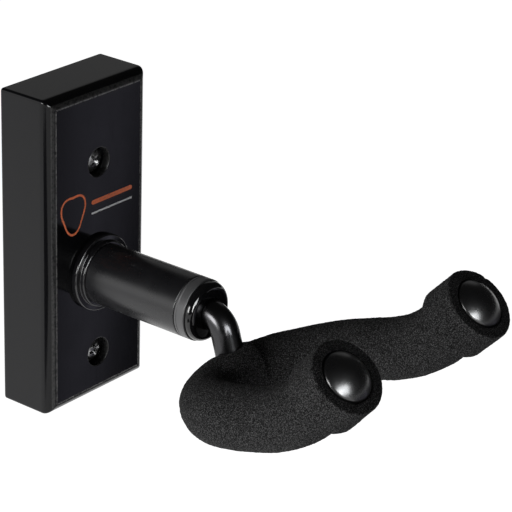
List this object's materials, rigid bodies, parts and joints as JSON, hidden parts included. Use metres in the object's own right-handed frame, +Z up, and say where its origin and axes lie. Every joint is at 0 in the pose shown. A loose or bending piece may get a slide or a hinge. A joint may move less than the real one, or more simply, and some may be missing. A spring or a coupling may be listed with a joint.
{
  "type": "wall guitar hanger",
  "caption": "Wall hanger for a guitar: black wooden wall block, tubular pivot housing and a free-swinging U-shaped yoke covered in foam.",
  "frame": {"origin": "middle of the block's back face, on the wall plane", "axes": "+Y into the wall, so the yoke reaches towards -Y; +Z up the wall; +X to the right as seen from the room"},
  "size_m": [0.1172, 0.2269, 0.14],
  "materials": {
    "black_lacquered_wood": "solid hardwood sprayed in black semi-gloss lacquer",
    "black_screw_steel": "black phosphated steel, slightly oily",
    "zinc_plated_steel": "bright zinc plating",
    "black_coated_steel": "satin black powder coat",
    "black_rod_steel": "gloss black coating",
    "natural_nylon": "natural nylon",
    "grey_nylon": "turned dark grey nylon, satin",
    "gloss_black_plastic": "moulded gloss black plastic",
    "black_foam": "matte black closed-cell rubber foam with a fine open grain"
  },
  "bodies": {
    "root": {"mount_block": "black_lacquered_wood", "upper_wall_screw": "black_screw_steel", "lower_wall_screw": "black_screw_steel", "housing_bolt": "zinc_plated_steel", "bolt_washer": "zinc_plated_steel", "bolt_lock_washer": "zinc_plated_steel", "tube_flange": "black_coated_steel", "pivot_tube": "black_coated_steel", "tube_base_plug": "zinc_plated_steel", "rear_bush": "natural_nylon", "bearing_ring": "grey_nylon"},
    "yoke": {"swivel_rod": "black_rod_steel", "rod_end_cap": "gloss_black_plastic", "rod_washer": "zinc_plated_steel", "rod_lock_nut": "zinc_plated_steel", "yoke_bar": "black_rod_steel", "yoke_weld": "black_rod_steel", "left_arm_foam": "black_foam", "right_arm_foam": "black_foam", "left_tip_sleeve": "black_foam", "right_tip_sleeve": "black_foam", "left_tip_cap": "gloss_black_plastic", "right_tip_cap": "gloss_black_plastic"}
  },
  "joints": [
    {"name": "yoke_swivel", "type": "hinge", "parent": "root", "child": "yoke", "pos_m": [0, -0.084, -0.0125], "axis": [0, 1, 0], "continuous": true}
  ]
}
